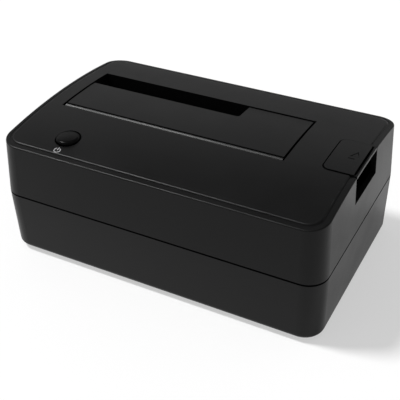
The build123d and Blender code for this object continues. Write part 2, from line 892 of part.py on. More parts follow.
def key_slots():
    """The two L-shaped slots of the connector: limits along X, signal slot first."""
    x, _ = connector_place()
    left = x - nose_length / 2 + key_slot_end_wall
    right = x + nose_length / 2 - key_slot_end_wall
    usable = right - left - key_rib
    signal_share = signal_contacts / (signal_contacts + power_contacts)
    middle = left + signal_share * usable
    return [(left, middle), (middle + key_rib, right)]


def sata_connector():
    """Upright drive receptacle: base on the board, and a nose with two keyed slots."""
    x, y = connector_place()
    base = block(
        around(x, connector_length),
        around(y, connector_depth),
        (board_top_z, well_floor_z),
    )
    nose = block(around(x, nose_length), around(y, nose_depth), (well_floor_z, well_floor_z + nose_rise))
    top = nose.faces().sort_by(Axis.Z)[-1]
    nose = chamfer(top.edges(), nose_edge_chamfer)
    body = base + nose
    depth = (well_floor_z + nose_rise - key_slot_depth, well_floor_z + nose_rise + overrun)
    for low, high in key_slots():
        body -= block((low, high), around(y, key_slot_width), depth)
        body -= block((low, low + key_slot_width), (y, y + key_leg - key_slot_width / 2), depth)
    return body


def sata_contacts():
    """Spring contacts on the front wall of the two slots."""
    _, y = connector_place()
    low = well_floor_z + nose_rise - key_slot_depth
    wall_y = y - key_slot_width / 2
    group = []
    for (left, right), count in zip(key_slots(), (signal_contacts, power_contacts)):
        pitch = min(contact_pitch, (right - left) / count)
        start = (left + right) / 2 - pitch * (count - 1) / 2
        for index in range(count):
            group.append(
                block(
                    around(start + index * pitch, contact_width),
                    (wall_y, wall_y + contact_thickness),
                    (low, low + contact_height),
                )
            )
    return Compound(children=group)


def data_socket_shell():
    """Drawn metal shell of the upstream data socket."""
    end = socket_y()
    z_span = (board_top_z, board_top_z + data_socket_height)
    x_span = around(data_socket_x, data_socket_width)
    outer = block(x_span, (end - data_socket_length, end), z_span)
    skin = socket_shell_wall
    inner = block(
        (x_span[0] + skin, x_span[1] - skin),
        (end - data_socket_length + skin, end + overrun),
        (z_span[0] + skin, z_span[1] - skin),
    )
    return outer - inner


def data_socket_core():
    """Insulator of the data socket: keyed mouth, lower tongue and thin upper tongue."""
    end = socket_y()
    skin = socket_shell_wall
    low = board_top_z + skin
    body = block(
        (data_socket_x - data_socket_width / 2 + skin, data_socket_x + data_socket_width / 2 - skin),
        (end - data_socket_length + skin, end),
        (low, board_top_z + data_socket_height - skin),
    )
    mouth_low = board_top_z + (data_socket_height - data_mouth_height - data_upper_mouth_height) / 2
    mouth_top = mouth_low + data_mouth_height
    depth = (end - data_mouth_depth, end + overrun)
    mouth = block(around(data_socket_x, data_mouth_width), depth, (mouth_low, mouth_top))
    mouth = chamfer(mouth.edges().filter_by(Axis.Y).group_by(Axis.Z)[-1], data_mouth_chamfer)
    upper_top = mouth_top + data_upper_mouth_height
    mouth += block(around(data_socket_x, data_upper_mouth_width), depth, (mouth_top, upper_top))
    body -= mouth
    reach = (end - data_mouth_depth, end - data_tongue_recess)
    lower_z = around((mouth_low + mouth_top) / 2, data_tongue_height)
    upper_z = around((mouth_top + upper_top) / 2, data_upper_tongue_height)
    body += block(around(data_socket_x, data_tongue_width), reach, lower_z)
    body += block(around(data_socket_x, data_upper_tongue_width), reach, upper_z)
    return body


def power_inlet():
    """Body of the round low-voltage inlet."""
    end = socket_y()
    body = block(
        around(inlet_x, inlet_width),
        (end - inlet_length, end),
        (board_top_z, board_top_z + inlet_height),
    )
    upper = body.edges().filter_by(Axis.Y).group_by(Axis.Z)[-1]
    body = chamfer(upper, inlet_edge_chamfer)
    axis_z = board_top_z + inlet_axis_rise
    return body - lying_y(inlet_x, (end - inlet_bore_depth, end + overrun), axis_z, inlet_bore_radius)


def power_inlet_pin():
    """Centre pin of the inlet."""
    end = socket_y()
    span = (end - inlet_bore_depth, end - inlet_pin_recess)
    return lying_y(inlet_x, span, board_top_z + inlet_axis_rise, inlet_pin_radius)


def bridge_chip():
    """Flat converter chip."""
    x, y = on_board(bridge_chip_shares)
    size = bridge_chip_size
    chip = block(around(x, size), around(y, size), (board_top_z, board_top_z + bridge_chip_height))
    return chamfer(chip.faces().sort_by(Axis.Z)[-1].edges(), chip_edge_chamfer)


def regulator_chips():
    """Two voltage regulators."""
    group = []
    for shares in regulator_shares:
        x, y = on_board(shares)
        z_span = (board_top_z, board_top_z + regulator_height)
        chip = block(around(x, regulator_length), around(y, regulator_width), z_span)
        group.append(chamfer(chip.faces().sort_by(Axis.Z)[-1].edges(), chip_edge_chamfer))
    return Compound(children=group)


def electrolytic_capacitors():
    """Upright cans with a crimped neck and a cross-shaped vent."""
    group = []
    for shares in capacitor_shares:
        x, y = on_board(shares)
        low, high = board_top_z, board_top_z + capacitor_height
        profile = Polyline(
            (0, low),
            (capacitor_radius, low),
            (capacitor_radius, low + crimp_rise),
            (capacitor_radius - crimp_depth, low + crimp_rise + crimp_height / 2),
            (capacitor_radius, low + crimp_rise + crimp_height),
            (capacitor_radius, high - capacitor_edge_chamfer),
            (capacitor_radius - capacitor_edge_chamfer, high),
            (0, high),
            close=True,
        )
        can = Pos(x, y, 0) * revolve(Plane.XZ * make_face(profile), Axis.Z)
        for turn in (0, 90):
            groove = Box(capacitor_radius, capacitor_vent_width, 2 * capacitor_vent_depth)
            can -= Pos(x, y, high) * Rot(0, 0, turn) * groove
        group.append(can)
    return Compound(children=group)


def power_inductor():
    """Drum inductor: square plates over a wound waist."""
    x, y = on_board(inductor_shares)
    size = inductor_size
    body = upright(x, y, (board_top_z, board_top_z + inductor_height), inductor_core_radius)
    for low in (board_top_z, board_top_z + inductor_height - inductor_flange):
        plate = block(around(x, size), around(y, size), (low, low + inductor_flange))
        body += fillet(plate.edges().filter_by(Axis.Z), inductor_flange)
    return body


def crystal():
    """Oval can of the clock crystal."""
    x, y = on_board(crystal_shares)
    outline = SlotOverall(crystal_length, crystal_width)
    can = extrude(Pos(x, y, board_top_z) * outline, crystal_height)
    return chamfer(can.faces().sort_by(Axis.Z)[-1].edges(), crystal_edge_chamfer)


def foot_places():
    """The four feet."""
    return [(x, y) for x in (-foot_x, foot_x) for y in (-foot_y, foot_y)]


def rubber_feet():
    """Rubber discs set in shallow recesses of the base."""
    group = []
    for x, y in foot_places():
        foot = upright(x, y, (0, base_z + foot_recess), foot_radius)
        group.append(chamfer(foot.edges().group_by(Axis.Z)[0], foot_edge_chamfer))
    return Compound(children=group)


def screw(x, y, seat, facing, shank_size, head_size):
    """Pan-head screw with a cross recess, seated at a height and facing up or down."""
    radius, length = shank_size
    head_radius, head_height = head_size
    head = sorted((seat, seat + facing * head_height))
    shank = sorted((seat, seat - facing * length))
    body = upright(x, y, head, head_radius)
    outer = body.edges().sort_by(Axis.Z)[-1 if facing > 0 else 0]
    body = chamfer(outer, screw_edge_share * head_height) + upright(x, y, shank, radius)
    for turn in (0, 90):
        cross = Box(2 * cross_length_share * head_radius, cross_width, 2 * cross_depth_share * head_height)
        body -= Pos(x, y, seat + facing * head_height) * Rot(0, 0, turn) * cross
    return body


def case_screws():
    """Four screws from below, deep in the base."""
    shank = (case_screw_radius, case_screw_length)
    head = (case_screw_head_radius, case_screw_head_height)
    seat = case_screw_seat_z
    return Compound(children=[screw(x, y, seat, -1, shank, head) for x, y in case_screw_places()])


def board_screws():
    """Four screws that hold the board on its standoffs."""
    shank = (board_screw_radius, board_screw_length)
    head = (board_screw_head_radius, board_screw_head_height)
    return Compound(children=[screw(x, y, board_top_z, 1, shank, head) for x, y in board_hole_places()])


def well_screws():
    """Four screws that hang the well from the upper shell."""
    shank = (well_screw_radius, well_screw_length)
    head = (well_screw_head_radius, well_screw_head_height)
    return Compound(children=[screw(x, y, lug_z, -1, shank, head) for x, y in well_screw_places()])


pieces = {
    "upper_housing": upper_housing,
    "lower_housing": lower_housing,
    "drive_well": drive_well,
    "dust_flap": dust_flap,
    "flap_hinge_pin": flap_hinge_pin,
    "flap_spring": flap_spring,
    "power_button": power_button,
    "power_switch": power_switch,
    "switch_plunger": switch_plunger,
    "eject_button": eject_button,
    "eject_spring": eject_spring,
    "eject_lever": eject_lever,
    "eject_lever_pin": eject_lever_pin,
    "main_circuit_board": main_circuit_board,
    "sata_connector": sata_connector,
    "sata_contacts": sata_contacts,
    "data_socket_shell": data_socket_shell,
    "data_socket_core": data_socket_core,
    "power_inlet": power_inlet,
    "power_inlet_pin": power_inlet_pin,
    "bridge_chip": bridge_chip,
    "regulator_chips": regulator_chips,
    "electrolytic_capacitors": electrolytic_capacitors,
    "power_inductor": power_inductor,
    "crystal": crystal,
    "rubber_feet": rubber_feet,
    "case_screws": case_screws,
    "board_screws": board_screws,
    "well_screws": well_screws,
}

os.makedirs("parts", exist_ok=True)
for name, make in pieces.items():
    export_step(make(), f"parts/{name}.step")
    print(name, "written")
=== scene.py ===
import json
import math

import bmesh
import bpy
from bpy.props import FloatProperty, FloatVectorProperty, IntProperty, PointerProperty
from mathutils import Matrix, Vector
from mathutils.bvhtree import BVHTree


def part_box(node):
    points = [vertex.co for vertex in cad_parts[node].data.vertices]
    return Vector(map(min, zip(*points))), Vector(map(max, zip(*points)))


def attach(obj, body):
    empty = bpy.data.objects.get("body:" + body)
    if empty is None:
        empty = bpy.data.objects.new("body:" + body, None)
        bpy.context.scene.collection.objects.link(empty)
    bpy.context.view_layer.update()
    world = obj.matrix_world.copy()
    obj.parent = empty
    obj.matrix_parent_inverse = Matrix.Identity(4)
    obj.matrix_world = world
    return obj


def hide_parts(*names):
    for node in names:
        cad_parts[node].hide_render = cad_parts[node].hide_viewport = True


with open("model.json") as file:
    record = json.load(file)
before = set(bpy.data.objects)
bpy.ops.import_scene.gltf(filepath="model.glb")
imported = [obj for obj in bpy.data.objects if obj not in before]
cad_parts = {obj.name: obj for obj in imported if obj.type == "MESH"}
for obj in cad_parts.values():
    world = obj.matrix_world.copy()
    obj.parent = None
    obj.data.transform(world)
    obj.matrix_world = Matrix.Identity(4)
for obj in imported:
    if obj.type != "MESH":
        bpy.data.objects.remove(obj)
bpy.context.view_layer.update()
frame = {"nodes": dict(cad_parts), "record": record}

bl_info = {
    "name": "Drive docking station",
    "version": (1, 0, 0),
    "blender": (4, 5, 0),
    "location": "3D View > Sidebar > Drive dock",
    "description": "Dresses a desktop drive dock: black mouldings, two symbols, sockets and board",
    "category": "Object",
}

mm = 0.001
slot_of_node = {part["node"]: part["material_slot"] for part in frame["record"]["subparts"]}
noise_span = (0.3, 0.7)     # most values of a noise texture lie in it


# Settings that a user would change

class MouldingSettings(bpy.types.PropertyGroup):
    """Colours and grain of the black mouldings."""
    shell_colour: FloatVectorProperty(
        name="Shell colour", description="Black of the two housing shells and the flap",
        default=(0.0028, 0.0028, 0.0029), size=3, min=0, max=1, subtype="COLOR")
    cap_colour: FloatVectorProperty(
        name="Cap colour", description="Black of the power button and the eject button",
        default=(0.0024, 0.0024, 0.0025), size=3, min=0, max=1, subtype="COLOR")
    roughness: FloatProperty(
        name="Roughness", description="Mean roughness of the moulded texture",
        default=0.36, min=0, max=1, subtype="FACTOR")
    gloss: FloatProperty(
        name="Gloss", description="Strength of the plastic's reflections",
        default=0.165, min=0, max=1, subtype="FACTOR")
    button_gloss: FloatProperty(
        name="Button gloss", description="Strength of the reflections on the power button",
        default=0.055, min=0, max=1, subtype="FACTOR")
    grain: FloatProperty(
        name="Grain", description="Spacing of the spark-eroded grain",
        default=0.00028, min=0.00005, max=0.002, precision=6, unit="LENGTH")
    grain_depth: FloatProperty(
        name="Grain depth", description="Depth of the spark-eroded grain",
        default=0.000006, min=0, max=0.0001, precision=7, unit="LENGTH")


class SymbolSettings(bpy.types.PropertyGroup):
    """Sizes of the two generic symbols on the top."""
    power_ring: FloatProperty(
        name="Power ring", description="Outer diameter of the printed power symbol",
        default=0.003, min=0.001, max=0.01, precision=5, unit="LENGTH")
    power_stroke: FloatProperty(
        name="Power stroke", description="Line width of the printed power symbol",
        default=0.00036, min=0.0001, max=0.002, precision=5, unit="LENGTH")
    power_gap: FloatProperty(
        name="Power gap", description="Opening of the ring of the power symbol",
        default=math.radians(70), min=0, max=math.pi, subtype="ANGLE")
    print_colour: FloatVectorProperty(
        name="Print colour", description="Pale grey ink of the power symbol",
        default=(0.42, 0.42, 0.43), size=3, min=0, max=1, subtype="COLOR")
    eject_width: FloatProperty(
        name="Eject width", description="Width of the moulded eject symbol",
        default=0.0046, min=0.001, max=0.01, precision=5, unit="LENGTH")
    eject_stroke: FloatProperty(
        name="Eject stroke", description="Line width of the moulded eject symbol",
        default=0.00055, min=0.0001, max=0.002, precision=5, unit="LENGTH")


class BoardSettings(bpy.types.PropertyGroup):
    """Colours and counts of the circuit board's small parts."""
    mask_colour: FloatVectorProperty(
        name="Mask colour", description="Green of the solder mask",
        default=(0.012, 0.09, 0.035), size=3, min=0, max=1, subtype="COLOR")
    chip_legs: IntProperty(
        name="Chip legs", description="Legs on each side of the converter chip",
        default=16, min=4, max=32)
    leg_pitch: FloatProperty(
        name="Leg pitch", description="Spacing of the converter chip's legs",
        default=0.0005, min=0.0003, max=0.002, precision=5, unit="LENGTH")
    resistor_count: IntProperty(
        name="Resistors in a row", description="Chip resistors in each row",
        default=6, min=1, max=20)
    resistor_pitch: FloatProperty(
        name="Resistor pitch", description="Spacing of the chip resistors",
        default=0.0022, min=0.0012, max=0.01, precision=5, unit="LENGTH")


class StageSettings(bpy.types.PropertyGroup):
    """Camera, floor and light."""
    azimuth: FloatProperty(
        name="Azimuth", description="Turn of the camera to the right of the front",
        default=math.radians(28.318), subtype="ANGLE")
    elevation: FloatProperty(
        name="Elevation", description="Height of the camera over the horizon",
        default=math.radians(34.911), subtype="ANGLE")
    roll: FloatProperty(
        name="Roll", description="Turn of the camera about its own axis",
        default=math.radians(-1.131), subtype="ANGLE")
    distance: FloatProperty(
        name="Distance", description="Distance of the camera from what it aims at",
        default=0.346357, min=0.05, max=5, unit="LENGTH")
    aim: FloatVectorProperty(
        name="Aim", description="Point that the camera aims at",
        default=(0.003764, -0.009301, 0.025082), size=3, subtype="TRANSLATION", unit="LENGTH")
    lens: FloatProperty(
        name="Lens", description="Focal length of the camera in millimetres",
        default=72.798, min=10, max=300)
    floor_colour: FloatVectorProperty(
        name="Floor colour", description="Plain pale floor",
        default=(0.45, 0.45, 0.45), size=3, min=0, max=1, subtype="COLOR")
    floor_lift: FloatProperty(
        name="Floor lift", description="White that only the camera and reflections see on the floor",
        default=0.5, min=0, max=1, subtype="FACTOR")
    band_strength: FloatProperty(
        name="Band strength", description="Level of the band of soft light that goes round the set",
        default=0.68, min=0, max=1, subtype="FACTOR")
    band_low: FloatProperty(
        name="Band from", description="Elevation at which the band of soft light is full",
        default=math.radians(22), subtype="ANGLE")
    band_high: FloatProperty(
        name="Band to", description="Elevation at which the band of soft light starts to fade",
        default=math.radians(33), subtype="ANGLE")
    band_fade: FloatProperty(
        name="Band fade", description="Angle over which the band of soft light fades",
        default=math.radians(10), subtype="ANGLE")
    band_lean: FloatProperty(
        name="Band lean", description="How much brighter the sky is on the left",
        default=0.3, min=0, max=1, subtype="FACTOR")
    dim_strength: FloatProperty(
        name="Dim strength", description="Level of the sky beside the band",
        default=0.05, min=0, max=1, subtype="FACTOR")
    overhead_strength: FloatProperty(
        name="Overhead strength", description="Level of the sky straight above",
        default=0.35, min=0, max=1, subtype="FACTOR")
    key_strength: FloatProperty(
        name="Key strength", description="Level of the soft key light",
        default=3.0, min=0, max=5)
    key_direction: FloatVectorProperty(
        name="Key direction", description="Direction from the dock to the key light",
        default=(-0.5, -0.12, 0.86), size=3, subtype="DIRECTION")
    key_spread: FloatProperty(
        name="Key spread", description="Apparent size of the key light",
        default=math.radians(10), subtype="ANGLE")


# Helpers for node trees and finishes

class Wiring:
    """A node tree as its nodes are added, set and linked."""

    def __init__(self, tree):
        self.tree = tree

    def feed(self, node, feeds):
        """Links outputs to a node's inputs, or sets values on them. A node stands for its first output."""
        for socket, source in feeds.items():
            if isinstance(source, bpy.types.Node):
                source = source.outputs[0]
            if isinstance(source, bpy.types.NodeSocket):
                self.tree.links.new(source, node.inputs[socket])
            else:
                node.inputs[socket].default_value = source

    def node(self, kind, feeds=None, **settings):
        """Adds a node with its settings and with what feeds its inputs."""
        node = self.tree.nodes.new(kind)
        for name, value in settings.items():
            setattr(node, name, value)
        self.feed(node, feeds or {})
        return node

    def joined(self, first, second, operation="ADD"):
        """Two values added, or joined by another operation."""
        return self.node("ShaderNodeMath", {0: first, 1: second}, operation=operation).outputs["Value"]

    def between(self, value, span, low, high, **settings):
        """A value mapped from one span to a low and a high."""
        feeds = {"Value": value, "From Min": span[0], "From Max": span[1], "To Min": low, "To Max": high}
        return self.node("ShaderNodeMapRange", feeds, **settings).outputs["Result"]


class Finish(Wiring):
    """A material being made, with the nodes that vary it over the piece."""

    def __init__(self, name, colour, roughness, gloss=0.5, metal=0.0):
        self.material = bpy.data.materials.new(name)
        self.material.use_nodes = True
        super().__init__(self.material.node_tree)
        self.shader = self.tree.nodes["Principled BSDF"]
        self.feed(self.shader, {
            "Base Color": (*colour, 1), "Roughness": roughness,
            "Specular IOR Level": gloss, "Metallic": metal,
        })
        self.place = self.node("ShaderNodeTexCoord").outputs["Object"]

    def stretched(self, stretch):
        """The place on the piece, stretched along an axis for drawn or brushed grain."""
        return self.node("ShaderNodeMapping", {"Vector": self.place, "Scale": stretch}).outputs["Vector"]

    def noise(self, size, detail=2.0, place=None):
        """Cloudy noise whose blotches have about a given size."""
        feeds = {"Vector": place or self.place, "Scale": 1 / size, "Detail": detail}
        return self.node("ShaderNodeTexNoise", feeds).outputs["Fac"]

    def cells(self, size):
        """Cellular pattern whose cells have about a given size."""
        feeds = {"Vector": self.place, "Scale": 1 / size}
        return self.node("ShaderNodeTexVoronoi", feeds).outputs["Distance"]

    def tint(self, value, first, second):
        """A colour between two, by a value."""
        feeds = {0: value}
        for socket, colour in ((6, first), (7, second)):
            feeds[socket] = colour if isinstance(colour, bpy.types.NodeSocket) else (*colour, 1)
        return self.node("ShaderNodeMix", feeds, data_type="RGBA").outputs[2]

    def upward(self):
        """How far the surface faces up, from -1 to 1."""
        normal = self.node("ShaderNodeNewGeometry").outputs["Normal"]
        return self.node("ShaderNodeSeparateXYZ", {"Vector": normal}).outputs["Z"]

    def shades(self, value, colour, darkest, lightest):
        """A colour between two shades of itself, by a value."""
        return self.tint(value, scaled(colour, darkest), scaled(colour, lightest))

    def colour(self, socket):
        """Gives the surface its colour."""
        self.feed(self.shader, {"Base Color": socket})

    def rough(self, socket):
        """Gives the surface its roughness."""
        self.feed(self.shader, {"Roughness": socket})

    def uneven(self, noise, smoothest, roughest):
        """Roughness that runs between two levels with a noise."""
        self.rough(self.between(noise, noise_span, smoothest, roughest))

    def relief(self, height, depth, strength=1.0):
        """Fine relief of a given depth from a height between 0 and 1."""
        bump = self.node("ShaderNodeBump", {"Strength": strength, "Distance": depth, "Height": height})
        self.feed(self.shader, {"Normal": bump.outputs["Normal"]})


def scaled(colour, factor):
    """A colour made lighter or darker."""
    return tuple(channel * factor for channel in colour)


def dress(slot, material):
    """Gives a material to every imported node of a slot."""
    names = [name for name, its_slot in slot_of_node.items() if its_slot == slot]
    if not names:
        raise RuntimeError(f"no node has the slot {slot}")
    for name in names:
        for place in frame["nodes"][name].material_slots:
            place.material = material


def moulded_black(name, colour, settings, gloss, grain_share=1.0, roughness_shift=0.0):
    """Black moulded plastic: spark-eroded grain, faint handling marks and fine dust."""
    blotch_size, pit_share, unevenness = 0.022, 1.7, 0.03
    dust_size, dust_span, dust_cover, dust_shade = 0.0011, (0.7, 0.8), 0.35, 3
    middle = settings.roughness + roughness_shift
    finish = Finish(name, colour, middle, gloss=gloss)
    grain = settings.grain * grain_share
    blotches = finish.noise(blotch_size, detail=3)
    fine = finish.noise(grain, detail=3)
    pits = finish.cells(grain * pit_share)
    base = finish.shades(blotches, colour, darkest=0.8, lightest=1.2)
    dust = finish.between(finish.noise(dust_size, detail=1), dust_span, 0, dust_cover)
    finish.colour(finish.tint(dust, base, scaled(colour, dust_shade)))
    patches = finish.between(blotches, noise_span, middle - unevenness, middle + unevenness)
    finish.rough(finish.joined(patches, finish.between(fine, noise_span, -unevenness, unevenness)))
    finish.relief(finish.joined(fine, pits), settings.grain_depth)
    return finish.material


def smooth_plastic(name, colour, roughness, speckle):
    """Plain engineering plastic with flow marks and a faint speckle of filler."""
    flow_size, flow_stretch, ripple = 0.006, (1, 1, 0.25), 0.000003
    filler_size, filler_span = 0.0004, (0.5, 0.7)
    finish = Finish(name, colour, roughness, gloss=0.4)
    flow = finish.noise(flow_size, detail=4, place=finish.stretched(flow_stretch))
    filler = finish.between(finish.noise(filler_size, detail=2), filler_span, 0, 1)
    base = finish.shades(flow, colour, darkest=0.85, lightest=1.1)
    finish.colour(finish.tint(filler, base, scaled(colour, speckle)))
    finish.uneven(flow, smoothest=roughness - 0.05, roughest=roughness + 0.06)
    finish.relief(finish.noise(filler_size / 2, detail=2), ripple)
    return finish.material


def worked_metal(name, colour, roughness, grain, stretch=(1, 1, 1), stain=0.8):
    """Metal with drawn or brushed grain along one axis, and faint stains."""
    stain_size, line_shade, line_depth, line_span = 0.003, 0.85, 0.000004, (0.25, 0.75)
    finish = Finish(name, colour, roughness, metal=1.0)
    lines = finish.noise(grain, detail=4, place=finish.stretched(stretch))
    stains = finish.noise(stain_size, detail=3)
    base = finish.tint(stains, scaled(colour, stain), colour)
    finish.colour(finish.tint(finish.between(lines, noise_span, 0, 1), scaled(colour, line_shade), base))
    finish.rough(finish.between(lines, line_span, roughness - 0.08, roughness + 0.1))
    finish.relief(lines, line_depth)
    return finish.material


def printed_ink(settings):
    """Pale tampon-printed ink with thin patches."""
    patch_size, tooth_size, tooth_depth = 0.0003, 0.0001, 0.000003
    finish = Finish("printed_ink", settings.print_colour, 0.55, gloss=0.3)
    patches = finish.noise(patch_size, detail=3)
    finish.colour(finish.shades(patches, settings.print_colour, darkest=0.75, lightest=1.15))
    finish.uneven(patches, smoothest=0.48, roughest=0.62)
    finish.relief(finish.noise(tooth_size), tooth_depth)
    return finish.material


def solder_mask(settings):
    """Green mask over copper tracks, with the yellow glass cloth at the board's edges."""
    fields_per_metre, disorder, track_span = 260, 0.35, (0.04, 0.07)
    track_shade, track_height, track_strength = 1.9, 0.00002, 0.6
    cloud_size, cloth_size, cloth_stretch = 0.004, 0.0006, (0.1, 0.1, 3)
    cloth_dark, cloth_light, level_span = (0.32, 0.27, 0.12), (0.5, 0.45, 0.24), (0.4, 0.6)
    finish = Finish("solder_mask", settings.mask_colour, 0.3)
    feeds = {"Vector": finish.place, "Scale": fields_per_metre, "Randomness": disorder}
    fields = finish.node("ShaderNodeTexVoronoi", feeds, feature="DISTANCE_TO_EDGE")
    tracks = finish.between(fields.outputs["Distance"], track_span, 1, 0)
    cloudy = finish.noise(cloud_size, detail=4)
    field = finish.shades(cloudy, settings.mask_colour, darkest=0.8, lightest=1.15)
    mask = finish.tint(tracks, field, scaled(settings.mask_colour, track_shade))
    flat = finish.between(finish.joined(finish.upward(), 0.0, "ABSOLUTE"), level_span, 0, 1)
    layers = finish.noise(cloth_size, detail=2, place=finish.stretched(cloth_stretch))
    edge = finish.tint(layers, cloth_dark, cloth_light)
    finish.colour(finish.tint(flat, edge, mask))
    finish.uneven(cloudy, smoothest=0.24, roughest=0.36)
    finish.relief(tracks, track_height, track_strength)
    return finish.material


def chip_epoxy():
    """Dark moulded epoxy with a fine matt grain."""
    colour, grain_size, grain_depth = (0.018, 0.018, 0.02), 0.00012, 0.000006
    finish = Finish("chip_epoxy", colour, 0.55, gloss=0.4)
    grain = finish.noise(grain_size, detail=4)
    finish.colour(finish.shades(grain, colour, darkest=0.7, lightest=1.5))
    finish.uneven(grain, smoothest=0.48, roughest=0.64)
    finish.relief(grain, grain_depth)
    return finish.material


def sintered_ferrite():
    """Dark grey sintered ferrite with pits."""
    colour, pit_size, pit_depth, blotch_size = (0.05, 0.05, 0.055), 0.0005, 0.00002, 0.0018
    pit_span, in_pits, between_pits = (0, 0.6), 0.8, 0.62
    finish = Finish("sintered_ferrite", colour, 0.7, gloss=0.35)
    pits = finish.cells(pit_size)
    blotches = finish.noise(blotch_size, detail=4)
    finish.colour(finish.shades(blotches, colour, darkest=0.7, lightest=1.3))
    finish.rough(finish.between(pits, pit_span, in_pits, between_pits))
    finish.relief(pits, pit_depth)
    return finish.material


def sleeved_can():
    """Aluminium can with a dark plastic sleeve up its side and a bare crimped top."""
    bare_dark, bare_light = (0.55, 0.55, 0.57), (0.78, 0.78, 0.8)
    sleeve_dark, sleeve_light = (0.012, 0.014, 0.03), (0.02, 0.022, 0.045)
    scratch_size, scratch_depth, sleeve_blotch = 0.0003, 0.000004, 0.002
    upward_span, sleeve_roughness, bare_roughness = (0.5, 0.8), 0.42, 0.3
    finish = Finish("sleeved_can", (0.6, 0.6, 0.62), 0.35)
    top = finish.between(finish.upward(), upward_span, 0, 1)
    scratches = finish.noise(scratch_size, detail=3)
    bare = finish.tint(scratches, bare_dark, bare_light)
    sleeve = finish.tint(finish.noise(sleeve_blotch, detail=3), sleeve_dark, sleeve_light)
    finish.colour(finish.tint(top, sleeve, bare))
    finish.feed(finish.shader, {"Metallic": top})
    finish.rough(finish.between(top, (0, 1), sleeve_roughness, bare_roughness))
    finish.relief(scratches, scratch_depth)
    return finish.material


def foot_rubber():
    """Matt black rubber with a bloom and fine pits."""
    colour, bloom_size, pit_size, pit_depth = (0.013, 0.013, 0.013), 0.0025, 0.0004, 0.00002
    finish = Finish("foot_rubber", colour, 0.85, gloss=0.25)
    bloom = finish.noise(bloom_size, detail=4)
    finish.colour(finish.shades(bloom, colour, darkest=1, lightest=2.2))
    finish.uneven(bloom, smoothest=0.78, roughest=0.92)
    finish.relief(finish.cells(pit_size), pit_depth)
    return finish.material


# Helpers for pieces

def surface_under(node):
    """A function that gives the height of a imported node's top surface at a place."""
    mesh = frame["nodes"][node].data
    tree = BVHTree.FromPolygons([v.co for v in mesh.vertices], [p.vertices for p in mesh.polygons])
    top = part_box(node)[1].z + mm

    def height(x, y):
        hit = tree.ray_cast(Vector((x, y, top)), Vector((0, 0, -1)))[0]
        if hit is None:
            raise RuntimeError(f"nothing of {node} lies at this place")
        return hit.z

    return height


def draped_strip(shape, outline_pairs, height, sink, proud, ring_shaped=False):
    """Solid strip between two edges, laid over a surface. The pairs run along it, or once round a ring."""
    rings = []
    for left, right in outline_pairs:
        ring = []
        for (x, y), lift in ((left, proud), (right, proud), (right, -sink), (left, -sink)):
            ring.append(shape.verts.new((x, y, height(x, y) + lift)))
        rings.append(ring)
    following = rings[1:] + rings[:1] if ring_shaped else rings[1:]
    for first, second in zip(rings, following):
        for side in range(4):
            after = (side + 1) % 4
            shape.faces.new((first[side], first[after], second[after], second[side]))
    if not ring_shaped:
        shape.faces.new(reversed(rings[0]))
        shape.faces.new(rings[-1])


def solid_between(shape, first, last):
    """Closed solid between two outlines that have the same corners."""
    near = [shape.verts.new(corner) for corner in first]
    far = [shape.verts.new(corner) for corner in last]
    shape.faces.new(near)
    shape.faces.new(reversed(far))
    for index in range(len(near)):
        after = (index + 1) % len(near)
        shape.faces.new((near[index], far[index], far[after], near[after]))


def bar_along_x(shape, section, x_span):
    """Closed bar of a section in Y and Z, between two limits along X."""
    solid_between(shape, *([(x, y, z) for y, z in section] for x in x_span))


def bar_along_y(shape, section, y_span):
    """Closed bar of a section in X and Z, between two limits along Y."""
    solid_between(shape, *([(x, y, z) for x, z in section] for y in y_span))


def turned(shape, profile, centre, segments):
    """Closed solid turned round an upright axis from a profile of radii and heights, from the bottom up."""
    rings = []
    for radius, z in profile:
        ring = []
        for index in range(segments):
            angle = 2 * math.pi * index / segments
            place = (centre[0] + radius * math.cos(angle), centre[1] + radius * math.sin(angle), z)
            ring.append(shape.verts.new(place))
        rings.append(ring)
    for first, second in zip(rings, rings[1:]):
        for index in range(segments):
            after = (index + 1) % segments
            shape.faces.new((first[index], first[after], second[after], second[index])).smooth = True
    shape.faces.new(reversed(rings[0]))
    shape.faces.new(rings[-1]).smooth = True


def new_piece(name, shape, body, material):
    """Makes an object of a shape, which rides on a body and has a finish."""
    bmesh.ops.recalc_face_normals(shape, faces=shape.faces)
    mesh = bpy.data.meshes.new(name)
    shape.to_mesh(mesh)
    shape.free()
    mesh.materials.append(material)
    piece = bpy.data.objects.new(name, mesh)
    bpy.context.scene.collection.objects.link(piece)
    if body:
        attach(piece, body)
    return piece


def make_plain(piece):
    """Applies the modifiers of a piece."""
    graph = bpy.context.evaluated_depsgraph_get()
    mesh = bpy.data.meshes.new_from_object(piece.evaluated_get(graph))
    piece.modifiers.clear()
    piece.data = mesh


def carved(piece, tools):
    """Joins a piece with others or cuts it by them, in order, and makes it plain."""
    for operation, tool in tools:
        modifier = piece.modifiers.new(tool.name, "BOOLEAN")
        modifier.operation = operation
        modifier.solver = "EXACT"
        modifier.object = tool
    make_plain(piece)
    for _, tool in tools:
        bpy.data.objects.remove(tool)


